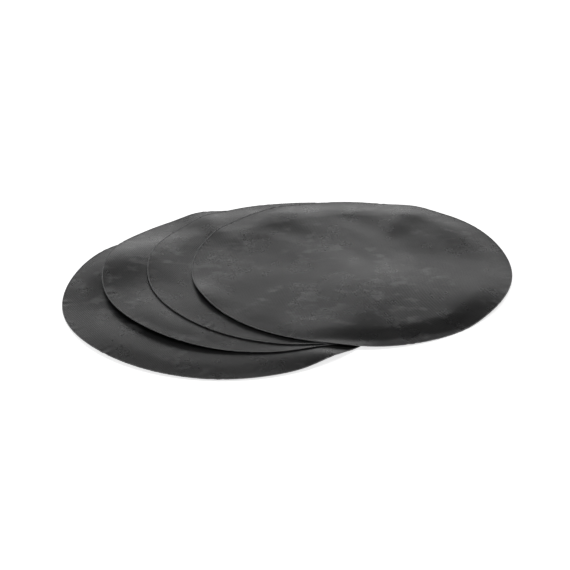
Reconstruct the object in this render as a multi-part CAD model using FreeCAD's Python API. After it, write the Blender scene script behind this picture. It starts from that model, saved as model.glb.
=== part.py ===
import FreeCAD, Part
import math
import os

# A set of four round wheel covers, cut from black coated cloth and lying fanned on a flat surface.
# Each cover is a single sheet of cloth with its cut rim bound by overlocked thread.
# Units are millimetres. +Z is up, z = 0 is the surface that the set lies on, the fan runs along +X,
# and the origin is under the middle of the whole set.

# --- the cover ---
DIAMETER = 680.0
RADIUS = DIAMETER / 2
CLOTH_THICKNESS = 0.8      # weave and coating together
THREAD_THICKNESS = 0.4     # overlocked thread, over, under and outside the cloth
THREAD_WIDTH = 2.4         # how far the stitches reach in from the rim

# --- how the covers lie ---
CENTRES = {1: (-132.0, -64.0), 2: (-56.0, 36.0), 3: (38.0, 64.0), 4: (132.0, 61.0)}
AIR = 0.5                  # least gap between the threads of one cover and the next
LAYER_PITCH = CLOTH_THICKNESS + 2 * THREAD_THICKNESS + AIR
RIM_REST = THREAD_THICKNESS + 0.1    # the thread holds the rim this far above the surface
SINK = 0.8                 # the bottom cover's middle settles this far below its rim
SINK_INNER = 0.55 * RADIUS
SINK_OUTER = 0.80 * RADIUS
DRAPE_REACH = 150.0        # how far past a rim beneath it a cover takes to come down
LIFT_INNER = 0.35 * RADIUS  # a lifted rim starts to rise here

# Where each rim stands up from what it lies on: (direction in degrees from +X, height, spread in degrees)
RIM_LIFTS = {
    1: ((20, 3, 40), (140, 10, 12), (222, 9, 30), (262, 3, 25), (303, 8, 16)),
    2: ((116, 7, 12), (172, 3, 18), (215, 8, 24), (243, 4, 20)),
    3: ((75, 3, 20), (115, 2, 15), (145, 2, 20), (185, 1, 20)),
    4: ((0, 5, 25), (40, 10, 25), (64, 6, 12), (118, 6, 12), (203, 6, 12), (240, 4, 25), (335, 3, 18)),
}

# --- the grid that the soft surfaces pass through ---
GRID_STEPS = 30
GRID_HALF = RADIUS + 6.0
TOOL_HALF_HEIGHT = 60.0    # cutting cylinders reach well past the cloth, up and down


def smooth(value):
    """Ease from 0 to 1 with no slope at either end."""
    t = min(max(value, 0.0), 1.0)
    return t * t * (3 - 2 * t)


def polar(cover, x, y):
    """Distance in millimetres and direction in degrees of a point from a cover's centre."""
    dx = x - CENTRES[cover][0]
    dy = y - CENTRES[cover][1]
    return math.hypot(dx, dy), math.degrees(math.atan2(dy, dx))


def rim_lift(cover, x, y):
    """How far a cover stands up, at a point, from what it lies on."""
    distance, direction = polar(cover, x, y)
    lift = 0.0
    for angle, height, spread in RIM_LIFTS[cover]:
        turn = (direction - angle + 180) % 360 - 180
        lift += height * math.exp(-(turn / spread) ** 2)
    return lift * smooth((distance - LIFT_INNER) / (RADIUS - LIFT_INNER))


def underside(cover, x, y):
    """Height of a cover's underside."""
    return pile_top(cover - 1, x, y) + rim_lift(cover, x, y)


def pile_top(cover, x, y):
    """Height that the next cover's underside rests at, with this many covers already laid."""
    if cover == 0:
        return RIM_REST
    distance, _ = polar(cover, x, y)
    share = 1 - smooth((distance - RADIUS) / DRAPE_REACH)
    return share * (underside(cover, x, y) + LAYER_PITCH) + (1 - share) * pile_top(cover - 1, x, y)


def bottom_underside(x, y):
    """The bottom cover's underside dips under z = 0 in its middle, where it is then cut flat."""
    distance, _ = polar(1, x, y)
    sink = SINK * (1 - smooth((distance - SINK_INNER) / (SINK_OUTER - SINK_INNER)))
    return underside(1, x, y) - sink


def soft_surface(cover):
    """A smooth face through the cover's underside, larger than the cover."""
    cx, cy = CENTRES[cover]
    step = 2 * GRID_HALF / GRID_STEPS
    points = []
    for i in range(GRID_STEPS + 1):
        column = []
        for j in range(GRID_STEPS + 1):
            x = cx - GRID_HALF + i * step
            y = cy - GRID_HALF + j * step
            z = bottom_underside(x, y) if cover == 1 else underside(cover, x, y)
            column.append(FreeCAD.Vector(x, y, z))
        points.append(column)
    surface = Part.BSplineSurface()
    surface.interpolate(points)
    return surface.toShape()


def slab(face, low, high):
    """The solid between two heights, low and high, over a soft face."""
    base = face.copy()
    base.translate(FreeCAD.Vector(0, 0, low))
    return base.extrude(FreeCAD.Vector(0, 0, high - low))


def round_tool(cover, radius):
    """A tall upright cylinder about a cover's centre."""
    cx, cy = CENTRES[cover]
    foot = FreeCAD.Vector(cx, cy, -TOOL_HALF_HEIGHT)
    return Part.makeCylinder(radius, 2 * TOOL_HALF_HEIGHT, foot)


def above_surface(cover, shape):
    """The part of a shape that isn't below z = 0."""
    cx, cy = CENTRES[cover]
    corner = FreeCAD.Vector(cx - 2 * RADIUS, cy - 2 * RADIUS, 0)
    room = Part.makeBox(4 * RADIUS, 4 * RADIUS, TOOL_HALF_HEIGHT, corner)
    return shape.common(room)


def make_panel(cover, face):
    """The round sheet of coated cloth."""
    panel = slab(face, 0, CLOTH_THICKNESS).common(round_tool(cover, RADIUS))
    if cover == 1:
        panel = above_surface(cover, panel)
    return panel.Solids[0]


def make_edge_thread(cover, face, panel):
    """The overlocked thread, a thin sleeve folded over the panel's rim."""
    band = slab(face, -THREAD_THICKNESS, CLOTH_THICKNESS + THREAD_THICKNESS)
    band = band.common(round_tool(cover, RADIUS + THREAD_THICKNESS))
    band = band.cut(round_tool(cover, RADIUS - THREAD_WIDTH))
    return band.cut(panel).Solids[0]


os.makedirs("parts", exist_ok=True)
for number in CENTRES:
    soft_face = soft_surface(number)
    cloth = make_panel(number, soft_face)
    thread = make_edge_thread(number, soft_face, cloth)
    cloth.exportStep("parts/cover_%d_panel.step" % number)
    thread.exportStep("parts/cover_%d_edge_thread.step" % number)
    print(number, "panel", round(cloth.Volume), cloth.isValid(), "thread", round(thread.Volume), thread.isValid())
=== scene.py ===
import math

import bpy
import numpy as np
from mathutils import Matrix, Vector


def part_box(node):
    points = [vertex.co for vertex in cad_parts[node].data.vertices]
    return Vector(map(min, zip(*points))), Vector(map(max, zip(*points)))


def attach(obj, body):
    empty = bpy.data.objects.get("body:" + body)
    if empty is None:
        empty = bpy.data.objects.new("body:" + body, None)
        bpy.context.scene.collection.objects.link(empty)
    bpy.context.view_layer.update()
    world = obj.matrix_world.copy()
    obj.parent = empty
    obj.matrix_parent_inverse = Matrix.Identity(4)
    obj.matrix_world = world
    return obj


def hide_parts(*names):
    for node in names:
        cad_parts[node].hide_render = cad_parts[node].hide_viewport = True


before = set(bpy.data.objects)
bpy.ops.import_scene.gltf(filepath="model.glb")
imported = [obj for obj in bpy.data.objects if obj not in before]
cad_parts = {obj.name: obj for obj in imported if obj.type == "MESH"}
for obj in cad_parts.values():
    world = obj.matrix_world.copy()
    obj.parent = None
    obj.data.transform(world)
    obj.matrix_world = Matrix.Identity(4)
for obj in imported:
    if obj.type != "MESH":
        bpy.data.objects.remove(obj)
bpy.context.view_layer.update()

# Four black coated cloth wheel covers with overlocked rims, lying fanned in a pile.
# Lengths in the tables and shape functions are millimetres and angles are degrees.
# Meshes, lights and the camera are in metres, as the frame is.
MM = 0.001
COVERS = (1, 2, 3, 4)


# ---------------------------------------------------------------- sizes from the frame
def panel_name(cover):
    return "cover_%d_panel" % cover


def thread_name(cover):
    return "cover_%d_edge_thread" % cover


def centre_of(cover):
    low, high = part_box(panel_name(cover))
    return (low[0] + high[0]) / 2 / MM, (low[1] + high[1]) / 2 / MM


def radius_of(cover):
    low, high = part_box(panel_name(cover))
    return (high[0] - low[0]) / 2 / MM


CENTRE = {cover: centre_of(cover) for cover in COVERS}
RADIUS = radius_of(1)
CLOTH = 0.8                 # thickness of the coated cloth
LAYER_PITCH = 2.1           # from one cover's underside to the next one's, where they lie on each other
RIM_REST = 0.5              # the stitched rim holds the cloth this far above the floor
DRAPE_REACH = 150.0         # how far past a rim beneath it a cover takes to come down
BROAD = 0.35                # a broad rim lift starts to rise at this share of the radius
NARROW = 0.82               # and a narrow one at this share
SOFT_CONTACT = 0.5          # how gently a cover parts from what it lies on
WRINKLES = 9                # waves laid over each other
WRINKLE_LENGTH = 60         # from crest to crest of the shortest wave
WRINKLE_STEP = 19           # each next wave is this much longer
WRINKLE_HEIGHT = 0.0002     # height of a wave as a share of its length
PUCKER_RIPPLES = 5          # ripples laid over each other along the rim
PUCKER_COUNT = 61           # ripples round the rim in the broadest of them
PUCKER_STEP = 17            # each next one has this many more
PUCKER_HEIGHT = 0.12
PUCKER_REACH = 14.0         # how far in from the rim the puckers fade
CURL_WIDTH = 5.0            # the stitching rolls this much of the rim downwards
CURL_DROP = 0.1             # by this much at the very edge

# Where each rim stands up from what it lies on: (direction, height, spread, where the rise starts)
RIM_LIFTS = {
    1: ((20, 3, 40, BROAD), (222, 9, 30, BROAD), (262, 3, 25, BROAD), (290, 4, 16, BROAD)),
    2: ((116, 7, 8, BROAD), (172, 3, 18, BROAD), (215, 8, 24, BROAD), (243, 4, 20, BROAD)),
    3: ((75, 3, 20, BROAD), (115, 2, 12, BROAD), (145, 2, 20, BROAD), (185, 1, 20, BROAD)),
    4: (
        (0, 5, 25, BROAD), (40, 12, 25, BROAD), (64, 6, 9, BROAD), (118, 6, 9, BROAD),
        (203, 6, 11, NARROW), (224, 2.5, 12, NARROW), (247, 2, 16, NARROW),
        (300, 6, 28, BROAD), (300, -6, 24, NARROW), (335, 3, 18, BROAD),
    ),
}

# The cloth inside each rim stands a little off the pile: (height, distance from the rim where it is reached)
LOFT = {1: (1.5, 60), 2: (1.5, 60), 3: (1.2, 60), 4: (3.0, 60)}

# A rounded swelling runs round each cover inside its rim: (height, distance from the rim, half width)
SWELLING = {1: (1.0, 80, 50), 2: (0.8, 70, 50), 3: (0.5, 70, 50), 4: (0.5, 62, 38)}

# Low mounds and hollows in the cloth: (dx, dy, height, half width along X, half width along Y)
MOUNDS = {
    1: ((-262, 170, 13, 90, 150), (212, -256, 12, 72, 52), (60, -235, 1, 120, 50)),
    2: ((-270, 90, 3, 80, 80),),
    3: (),
    4: ((130, -120, 8, 230, 110), (-60, 190, 2, 190, 70)),
}

# Folds and bends: (x, y of the start, x, y of the end, rise on the left of that line, run of the rise,
# 1 for a crisp fold or 2 for a soft bend)
FOLDS = {
    1: ((-300, -30, -120, -150, 0.5, 25, 1),),
    2: ((-320, -10, -180, -160, 0.5, 25, 1),),
    3: ((-320, 60, -150, 120, 0.4, 20, 1), (-300, -60, -170, -190, 0.6, 25, 1)),
    4: (
        (-20, 262, -320, 150, -3.5, 60, 1),
        (215, 250, -20, 262, -2.0, 50, 1),
        (290, -190, -60, -290, -4.0, 40, 2),
        (-45, 200, -30, -150, 0.25, 10, 1),
    ),
}
FOLD_SPREAD = 110.0         # a fold fades out over this length beyond its ends
FOLD_REACH = 200.0          # and at this distance beside its line


# ---------------------------------------------------------------- the shape of the lying cloth
def smooth(value):
    """Ease from 0 to 1 with no slope at either end."""
    t = np.clip(value, 0, 1)
    return t * t * (3 - 2 * t)


def polar(cover, x, y):
    """Distance and direction of points from a cover's centre."""
    dx = x - CENTRE[cover][0]
    dy = y - CENTRE[cover][1]
    return np.hypot(dx, dy), np.degrees(np.arctan2(dy, dx))


def turn_between(direction, angle):
    return (direction - angle + 180) % 360 - 180


def rim_lift(cover, x, y):
    distance, direction = polar(cover, x, y)
    lift = 0 * x
    for angle, height, spread, inner in RIM_LIFTS[cover]:
        share = np.exp(-(turn_between(direction, angle) / spread) ** 2)
        lift = lift + height * share * smooth((distance / RADIUS - inner) / (1 - inner))
    return lift


def loft(cover, x, y):
    height, inset = LOFT[cover]
    distance, _ = polar(cover, x, y)
    return height * smooth((RADIUS - distance) / inset)


def swelling(cover, x, y):
    height, inset, half_width = SWELLING[cover]
    distance, _ = polar(cover, x, y)
    return height * np.exp(-((distance - RADIUS + inset) / half_width) ** 2)


def mounds(cover, x, y):
    total = 0 * x
    for dx, dy, height, half_x, half_y in MOUNDS[cover]:
        across = (x - CENTRE[cover][0] - dx) / half_x
        deep = (y - CENTRE[cover][1] - dy) / half_y
        total = total + height * np.exp(-across ** 2 - deep ** 2)
    return total


def folds(cover, x, y):
    """Each fold lies along a line, with the cloth rising or falling away on its left."""
    total = 0 * x
    for x0, y0, x1, y1, rise, run, power in FOLDS[cover]:
        length = math.hypot(x1 - x0, y1 - y0)
        ux, uy = (x1 - x0) / length, (y1 - y0) / length
        dx = x - CENTRE[cover][0] - x0
        dy = y - CENTRE[cover][1] - y0
        along = dx * ux + dy * uy
        beside = np.maximum(dy * ux - dx * uy, 0)
        ends = smooth(1 + along / FOLD_SPREAD) * smooth(1 + (length - along) / FOLD_SPREAD)
        bend = (1 - np.exp(-(beside / run) ** power)) * np.exp(-(beside / FOLD_REACH) ** 2)
        total = total + rise * ends * bend
    return total


def wrinkles(cover, x, y):
    """Broad, shallow waves that the cloth keeps from being stored."""
    total = 0 * x
    for i in range(WRINKLES):
        heading = 2.4 * i + 1.3 * cover
        length = WRINKLE_LENGTH + WRINKLE_STEP * i
        phase = 1.7 * i * cover
        along = x * math.cos(heading) + y * math.sin(heading)
        total = total + WRINKLE_HEIGHT * length * np.sin(along * 2 * math.pi / length + phase)
    return total


def own_shape(cover, x, y):
    shape = rim_lift(cover, x, y) + loft(cover, x, y) + swelling(cover, x, y)
    return shape + mounds(cover, x, y) + folds(cover, x, y) + wrinkles(cover, x, y)


def parted(height):
    """A height above the pile that never goes below it."""
    return SOFT_CONTACT * np.logaddexp(0, height / SOFT_CONTACT)


def underside(cover, x, y):
    return pile_top(cover - 1, x, y) + parted(own_shape(cover, x, y))


def pile_top(cover, x, y):
    """Height that the next cover's underside rests at, with this many covers already laid."""
    if cover == 0:
        return RIM_REST + 0 * x
    distance, _ = polar(cover, x, y)
    share = 1 - smooth((distance - RADIUS) / DRAPE_REACH)
    return share * (underside(cover, x, y) + LAYER_PITCH) + (1 - share) * pile_top(cover - 1, x, y)


def puckers(cover, distance, direction):
    """Small ripples where the rim stitching draws the cloth in."""
    wave = 0 * distance
    for i in range(PUCKER_RIPPLES):
        count = PUCKER_COUNT + PUCKER_STEP * i + 3 * cover
        wave = wave + np.sin(count * direction + 2.1 * i * cover)
    patchy = 0.5 + 0.5 * np.sin(5 * direction + cover) * np.sin(3 * direction + 2 * cover)
    near_rim = np.exp((distance - RADIUS) / PUCKER_REACH)
    return PUCKER_HEIGHT * wave * patchy * near_rim


def cloth_points(cover, distance, direction):
    """Points on a cover's underside, from flat polar places on the cover in mm and radians."""
    x = CENTRE[cover][0] + distance * np.cos(direction)
    y = CENTRE[cover][1] + distance * np.sin(direction)
    curl = CURL_DROP * np.maximum(0, 1 + (distance - RADIUS) / CURL_WIDTH) ** 2
    height = underside(cover, x, y) + puckers(cover, distance, direction) - curl
    return np.stack([x, y, height], -1)


# ---------------------------------------------------------------- meshes
SEGMENTS = 480
INNER_RINGS = 70
RIM_RINGS = 10              # finer rings, in the outermost zone
RIM_ZONE = 25.0


def new_object(name, points, faces):
    mesh = bpy.data.meshes.new(name)
    mesh.from_pydata([tuple(p) for p in points], [], faces)
    mesh.validate()
    mesh.polygons.foreach_set("use_smooth", [True] * len(mesh.polygons))
    obj = bpy.data.objects.new(name, mesh)
    bpy.context.collection.objects.link(obj)
    return obj


def ring_distances():
    inner = np.linspace(0, RADIUS - RIM_ZONE, INNER_RINGS + 1)[1:]
    outer = np.linspace(RADIUS - RIM_ZONE, RADIUS, RIM_RINGS + 1)[1:]
    return np.concatenate([inner, outer])


def side_faces(first, rings):
    """Faces of one side: a fan about the point before first, then the rings."""
    faces = []
    for j in range(SEGMENTS):
        faces.append((first - 1, first + j, first + (j + 1) % SEGMENTS))
    for i in range(rings - 1):
        a = first + i * SEGMENTS
        for j in range(SEGMENTS):
            k = (j + 1) % SEGMENTS
            faces.append((a + j, a + SEGMENTS + j, a + SEGMENTS + k, a + k))
    return faces


def make_panel(cover):
    rings = ring_distances()
    directions = np.arange(SEGMENTS) * 2 * math.pi / SEGMENTS
    distance, direction = np.meshgrid(rings, directions, indexing="ij")
    grid = cloth_points(cover, distance, direction).reshape(-1, 3)
    middle = cloth_points(cover, np.zeros(1), np.zeros(1))
    under = np.concatenate([middle, grid])
    upper = under + np.array([0, 0, CLOTH])
    count = len(under)
    top_faces = side_faces(count + 1, len(rings))
    under_faces = [face[::-1] for face in side_faces(1, len(rings))]
    low = count - SEGMENTS
    wall = []
    for j in range(SEGMENTS):
        k = (j + 1) % SEGMENTS
        wall.append((low + j, low + k, low + count + k, low + count + j))
    points = np.concatenate([under, upper]) * MM
    obj = new_object("cloth_%d" % cover, points, under_faces + top_faces + wall)
    for face in obj.data.polygons[:len(under_faces)]:
        face.material_index = 1
    return obj


STITCH_PITCH = 1.5          # along the rim, from one turn of the coil to the next
STITCHES = round(2 * math.pi * RADIUS / STITCH_PITCH)
BEAD_WIDTH = 2.2            # the overlocked bead, from its outside in to the needle holes
THREAD_RADIUS = 0.45
THREAD_SIDES = 5
COIL_STEPS = 7              # points round each turn of the thread


def tube(path, radius):
    """A closed ring of round thread along a closed path: points and faces."""
    ahead = np.roll(path, -1, 0) - np.roll(path, 1, 0)
    ahead = ahead / np.linalg.norm(ahead, axis=1)[:, None]
    side = np.cross(ahead, np.array([0.0, 0.0, 1.0]))
    side = side / np.linalg.norm(side, axis=1)[:, None]
    up = np.cross(side, ahead)
    turns = np.arange(THREAD_SIDES) * 2 * math.pi / THREAD_SIDES
    ring = side[:, None] * np.cos(turns)[None, :, None] + up[:, None] * np.sin(turns)[None, :, None]
    points = (path[:, None] + radius * ring).reshape(-1, 3)
    faces = []
    count = len(path)
    for i in range(count):
        a, b = i * THREAD_SIDES, (i + 1) % count * THREAD_SIDES
        for j in range(THREAD_SIDES):
            k = (j + 1) % THREAD_SIDES
            faces.append((a + j, a + k, b + k, b + j))
    return points, faces


def make_edge_thread(cover):
    """A dense overlocked bead: the thread coils over the rim, through the cloth and back under it."""
    turns = np.arange(STITCHES * COIL_STEPS) / COIL_STEPS
    coil = turns * 2 * math.pi
    inset = BEAD_WIDTH / 2 * (1 + np.cos(coil)) - THREAD_RADIUS
    path = cloth_points(cover, RADIUS - inset, turns * 2 * math.pi / STITCHES)
    path[:, 2] += CLOTH / 2 + (CLOTH / 2 + THREAD_RADIUS * 0.7) * np.sin(coil)
    points, faces = tube(path, THREAD_RADIUS)
    return new_object("stitches_%d" % cover, points * MM, faces)


# ---------------------------------------------------------------- materials
def new_material(name):
    material = bpy.data.materials.new(name)
    material.use_nodes = True
    return material, material.node_tree.nodes, material.node_tree.links


def add(nodes, kind, **settings):
    node = nodes.new(kind)
    for name, value in settings.items():
        setattr(node, name, value)
    return node


def math_node(nodes, links, operation, first, second=None):
    node = add(nodes, "ShaderNodeMath", operation=operation)
    for socket, value in zip(node.inputs, (first, second)):
        if value is None:
            continue
        if isinstance(value, (int, float)):
            socket.default_value = value
        else:
            links.new(value, socket)
    return node.outputs[0]


def yarn_wave(nodes, links, place, axis, pitch):
    """A sine that repeats every pitch along one axis of the turned cloth coordinates."""
    scaled = math_node(nodes, links, "MULTIPLY", place.outputs[axis], 2 * math.pi / pitch)
    return math_node(nodes, links, "SINE", scaled)


def weave_axes(nodes, links, place, weave_turn):
    """The cloth's own X and Y, along its yarns."""
    turned = add(nodes, "ShaderNodeMapping")
    turned.inputs["Rotation"].default_value = (0, 0, math.radians(weave_turn))
    links.new(place, turned.inputs["Vector"])
    axes = add(nodes, "ShaderNodeSeparateXYZ")
    links.new(turned.outputs["Vector"], axes.inputs["Vector"])
    return axes


def weave_height(nodes, links, axes):
    """Plain weave: warp and weft yarns crossing."""
    warp = yarn_wave(nodes, links, axes, "X", YARN_PITCH)
    weft = yarn_wave(nodes, links, axes, "Y", YARN_PITCH)
    return math_node(nodes, links, "MULTIPLY", warp, weft)


def noise_value(nodes, links, coordinates, scale, detail):
    node = add(nodes, "ShaderNodeTexNoise")
    node.inputs["Scale"].default_value = scale
    node.inputs["Detail"].default_value = detail
    links.new(coordinates, node.inputs["Vector"])
    return node.outputs["Fac"]


def ramp(nodes, links, value, low, high, start=0.0, end=1.0):
    node = add(nodes, "ShaderNodeMapRange", interpolation_type="SMOOTHSTEP")
    links.new(value, node.inputs["Value"])
    node.inputs["From Min"].default_value = low
    node.inputs["From Max"].default_value = high
    node.inputs["To Min"].default_value = start
    node.inputs["To Max"].default_value = end
    return node.outputs["Result"]


def colour_mix(nodes, links, factor, first, second):
    node = add(nodes, "ShaderNodeMix", data_type="RGBA")
    links.new(factor, node.inputs["Factor"])
    node.inputs["A"].default_value = (*first, 1)
    node.inputs["B"].default_value = (*second, 1)
    return node.outputs["Result"]


def bump(nodes, links, height, distance, strength, normal=None):
    node = add(nodes, "ShaderNodeBump")
    node.inputs["Strength"].default_value = strength
    node.inputs["Distance"].default_value = distance
    links.new(height, node.inputs["Height"])
    if normal is not None:
        links.new(normal, node.inputs["Normal"])
    return node.outputs["Normal"]


RUB_TURN = -12              # the pale rub marks run along this heading
COATING = (0.012, 0.012, 0.0122)
RUBBED_COATING = (0.068, 0.068, 0.069)
BACK_SHADES = (0.012, 0.012, 0.013), (0.02, 0.02, 0.021)
# the black edge thread is painted pale grey: a painted highlight for the light caught along the stitched rims
PAINTED_HIGHLIGHT_THREAD_SHADES = (0.19, 0.19, 0.192), (0.27, 0.27, 0.273)
YARN_PITCH = 0.0011         # metres, as everything in the materials is
RIB_PITCH = 0.0042


def coated_cloth(name, weave_turn, rib_size):
    """Black satin coating over a plain weave: yarns, ribs, rub marks and small dents."""
    material, nodes, links = new_material(name)
    shader = nodes["Principled BSDF"]
    shader.inputs["IOR"].default_value = 1.5
    place = add(nodes, "ShaderNodeTexCoord").outputs["Object"]
    axes = weave_axes(nodes, links, place, weave_turn)
    weave = weave_height(nodes, links, axes)
    rib = yarn_wave(nodes, links, axes, "Y", RIB_PITCH)
    rib_patch = ramp(nodes, links, noise_value(nodes, links, place, 5, 2), 0.4, 0.65, 0.25, 1)
    rib_height = math_node(nodes, links, "MULTIPLY", rib, rib_patch)
    stretched = add(nodes, "ShaderNodeMapping")
    stretched.inputs["Rotation"].default_value = (0, 0, math.radians(RUB_TURN))
    stretched.inputs["Scale"].default_value = (0.75, 1, 1)
    links.new(place, stretched.inputs["Vector"])
    smudge = noise_value(nodes, links, stretched.outputs["Vector"], 38, 3)
    zone = ramp(nodes, links, noise_value(nodes, links, place, 6, 1), 0.42, 0.62)
    marks = math_node(nodes, links, "MULTIPLY", ramp(nodes, links, smudge, 0.5, 0.68), zone)
    grain = noise_value(nodes, links, place, 420, 2)
    dents = noise_value(nodes, links, place, 26, 1)
    colour = colour_mix(nodes, links, marks, COATING, RUBBED_COATING)
    links.new(colour, shader.inputs["Base Color"])
    gloss = ramp(nodes, links, noise_value(nodes, links, place, 16, 3), 0.3, 0.7, 0.33, 0.26)
    links.new(gloss, shader.inputs["Roughness"])
    normal = bump(nodes, links, dents, 0.001, 0.35)
    normal = bump(nodes, links, rib_height, rib_size, 0.8, normal)
    normal = bump(nodes, links, grain, 0.0002, 0.5, normal)
    normal = bump(nodes, links, weave, 0.00005, 0.5, normal)
    links.new(normal, shader.inputs["Normal"])
    return material


def woven_back(name, weave_turn):
    """The uncoated underside: matt black polyester weave."""
    material, nodes, links = new_material(name)
    shader = nodes["Principled BSDF"]
    shader.inputs["IOR"].default_value = 1.45
    shader.inputs["Roughness"].default_value = 0.75
    place = add(nodes, "ShaderNodeTexCoord").outputs["Object"]
    weave = weave_height(nodes, links, weave_axes(nodes, links, place, weave_turn))
    fuzz = noise_value(nodes, links, place, 60, 4)
    colour = colour_mix(nodes, links, ramp(nodes, links, fuzz, 0.35, 0.65), *BACK_SHADES)
    links.new(colour, shader.inputs["Base Color"])
    links.new(bump(nodes, links, weave, 0.0002, 0.8), shader.inputs["Normal"])
    return material


def thread_material():
    """Black polyester thread, painted pale grey as a painted highlight along the rims, with a slight shine
    and its twist as bump.
    """
    material, nodes, links = new_material("edge_thread")
    shader = nodes["Principled BSDF"]
    shader.inputs["IOR"].default_value = 1.5
    shader.inputs["Roughness"].default_value = 0.38
    place = add(nodes, "ShaderNodeTexCoord").outputs["Object"]
    twist = add(nodes, "ShaderNodeTexWave", wave_type="BANDS", bands_direction="DIAGONAL")
    twist.inputs["Scale"].default_value = 900
    twist.inputs["Distortion"].default_value = 1.5
    links.new(place, twist.inputs["Vector"])
    shade = noise_value(nodes, links, place, 300, 2)
    colour = colour_mix(nodes, links, ramp(nodes, links, shade, 0.3, 0.7), *PAINTED_HIGHLIGHT_THREAD_SHADES)
    links.new(colour, shader.inputs["Base Color"])
    links.new(bump(nodes, links, twist.outputs["Fac"], 0.0001, 0.5), shader.inputs["Normal"])
    return material


def floor_material():
    material, nodes, links = new_material("floor_white")
    shader = nodes["Principled BSDF"]
    shader.inputs["Base Color"].default_value = (0.9, 0.9, 0.9, 1)
    shader.inputs["Roughness"].default_value = 0.9
    shader.inputs["Specular IOR Level"].default_value = 0.0
    shader.inputs["Emission Color"].default_value = (1, 1, 1, 1)
    shader.inputs["Emission Strength"].default_value = 0.75
    return material


# ---------------------------------------------------------------- the covers
# Each cover's own weave direction, and how strongly its ribs show
WEAVE_TURN = {1: 62, 2: 66, 3: 58, 4: -42}
RIB_HEIGHT = {1: 0.0001, 2: 0.0001, 3: 0.0001, 4: 0.0002}

thread = thread_material()
for cover in COVERS:
    body = "cover_%d" % cover
    cloth = make_panel(cover)
    cloth.data.materials.append(coated_cloth("coated_cloth_%d" % cover, WEAVE_TURN[cover], RIB_HEIGHT[cover]))
    cloth.data.materials.append(woven_back("woven_back_%d" % cover, WEAVE_TURN[cover]))
    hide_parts(panel_name(cover))
    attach(cloth, body)
    stitches = make_edge_thread(cover)
    stitches.data.materials.append(thread)
    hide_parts(thread_name(cover))
    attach(stitches, body)

# ---------------------------------------------------------------- floor, light and camera
FLOOR_SIZE = 40.0


def make_floor():
    half = FLOOR_SIZE / 2
    corners = [(-half, -half, 0), (half, -half, 0), (half, half, 0), (-half, half, 0)]
    floor = new_object("floor", corners, [(0, 1, 2, 3)])
    floor.data.materials.append(floor_material())


def make_area_light(name, place, target, size, power):
    data = bpy.data.lights.new(name, "AREA")
    data.shape = "RECTANGLE"
    data.size, data.size_y = size
    data.energy = power
    light = bpy.data.objects.new(name, data)
    bpy.context.collection.objects.link(light)
    light.location = place
    light.rotation_euler = (Vector(target) - Vector(place)).to_track_quat("-Z", "Y").to_euler()


def make_world(colour, strength):
    world = bpy.data.worlds.new("studio")
    bpy.context.scene.world = world
    world.use_nodes = True
    background = world.node_tree.nodes["Background"]
    background.inputs["Color"].default_value = (*colour, 1)
    background.inputs["Strength"].default_value = strength


VIEW_TARGET = (-0.0098, 0.0075, 0.0)
VIEW_DISTANCE = 4.896
VIEW_ELEVATION = math.radians(27.275)
VIEW_ANGLE = math.radians(14)


def make_camera():
    data = bpy.data.cameras.new("camera")
    data.sensor_width = 36
    data.angle = VIEW_ANGLE
    camera = bpy.data.objects.new("camera", data)
    bpy.context.collection.objects.link(camera)
    offset = Vector((0, -math.cos(VIEW_ELEVATION), math.sin(VIEW_ELEVATION))) * VIEW_DISTANCE
    camera.location = Vector(VIEW_TARGET) + offset
    camera.rotation_euler = (-offset).to_track_quat("-Z", "Y").to_euler()
    bpy.context.scene.camera = camera


make_floor()
make_world((1, 1, 1), 0.10)
make_area_light("overhead_softbox", (0, -0.6, 3.0), (0, 0, 0), (2.5, 2.5), 40)
make_area_light("back_softbox", (0, 3.2, 0.80), (0, 0, 0.2), (6, 1.2), 29)
make_area_light("left_softbox", (-3.4, 0.3, 0.8), (0, 0, 0.1), (4, 1.3), 20)
make_area_light("right_softbox", (3.8, 0.3, 0.8), (0, 0, 0.1), (4, 1.3), 8)
make_area_light("front_softbox", (0, -6.0, 1.4), (0, 0, 0.2), (6, 1.5), 12)
make_camera()
bpy.context.scene.view_settings.view_transform = "Standard"
